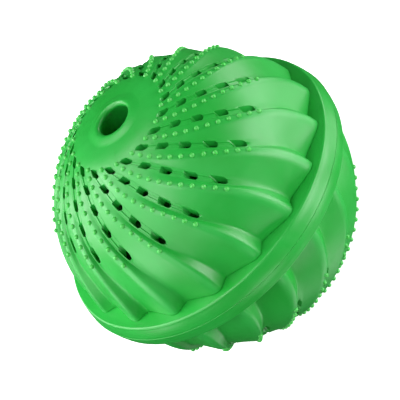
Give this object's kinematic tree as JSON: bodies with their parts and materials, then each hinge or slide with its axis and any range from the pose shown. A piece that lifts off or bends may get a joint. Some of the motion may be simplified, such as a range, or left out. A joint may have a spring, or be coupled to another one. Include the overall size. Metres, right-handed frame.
{
  "type": "laundry ball",
  "caption": "Fluted, slotted plastic ball that opens at a twist-lock band and holds ceramic pellets round a hollow core tube, for washing machines.",
  "frame": {"origin": "centre of the ball, on its axis, in the seam of the band", "axes": "+Z along the axis of the core tube, towards the half that lifts off; X and Y in the plane of the seam"},
  "size_m": [0.1102, 0.1102, 0.1006],
  "materials": {
    "dome_green": "satin moulded polypropylene, bright green",
    "band_green": "satin moulded polypropylene, bright green",
    "tube_green": "satin moulded polypropylene, bright green",
    "ferrite": "sintered, dull dark grey",
    "spring_steel": "bright rolled spring steel",
    "ceramic_white": "unglazed, matt off-white",
    "ceramic_grey": "unglazed, matt grey",
    "ceramic_tan": "unglazed, matt tan",
    "ceramic_terracotta": "unglazed, matt terracotta"
  },
  "bodies": {
    "lower_half": {"lower_dome": "dome_green", "lower_band": "band_green", "lower_core_tube": "tube_green", "lower_ring_magnet": "ferrite", "lower_magnet_clip": "spring_steel"},
    "upper_half": {"upper_dome": "dome_green", "upper_core_tube": "tube_green", "upper_ring_magnet": "ferrite", "upper_magnet_clip": "spring_steel"},
    "lock_collar": {"upper_band": "band_green"},
    "pellet_charge": {"ceramic_pellet_01": "ceramic_grey", "ceramic_pellet_02": "ceramic_tan", "ceramic_pellet_03": "ceramic_terracotta", "ceramic_pellet_04": "ceramic_white", "ceramic_pellet_05": "ceramic_grey", "ceramic_pellet_06": "ceramic_tan", "ceramic_pellet_07": "ceramic_terracotta", "ceramic_pellet_08": "ceramic_white", "ceramic_pellet_09": "ceramic_grey", "ceramic_pellet_10": "ceramic_tan", "ceramic_pellet_11": "ceramic_terracotta", "ceramic_pellet_12": "ceramic_white", "ceramic_pellet_13": "ceramic_grey", "ceramic_pellet_14": "ceramic_tan", "ceramic_pellet_15": "ceramic_terracotta", "ceramic_pellet_16": "ceramic_white", "ceramic_pellet_17": "ceramic_grey", "ceramic_pellet_18": "ceramic_tan", "ceramic_pellet_19": "ceramic_terracotta", "ceramic_pellet_20": "ceramic_white", "ceramic_pellet_21": "ceramic_grey", "ceramic_pellet_22": "ceramic_tan", "ceramic_pellet_23": "ceramic_terracotta", "ceramic_pellet_24": "ceramic_white", "ceramic_pellet_25": "ceramic_grey", "ceramic_pellet_26": "ceramic_tan", "ceramic_pellet_27": "ceramic_terracotta", "ceramic_pellet_28": "ceramic_white", "ceramic_pellet_29": "ceramic_grey", "ceramic_pellet_30": "ceramic_tan", "ceramic_pellet_31": "ceramic_terracotta"}
  },
  "joints": [
    {"name": "upper_half_lift", "type": "slide", "parent": "lower_half", "child": "upper_half", "axis": [0, 0, 1], "range_m": [0, 0.08]},
    {"name": "collar_lock", "type": "hinge", "parent": "upper_half", "child": "lock_collar", "pos_m": [0, 0, 0], "axis": [0, 0, -1], "range_deg": [0, 45]},
    {"name": "pellet_swirl", "type": "hinge", "parent": "lower_half", "child": "pellet_charge", "pos_m": [0, 0, 0], "axis": [0, 0, 1], "continuous": true}
  ]
}
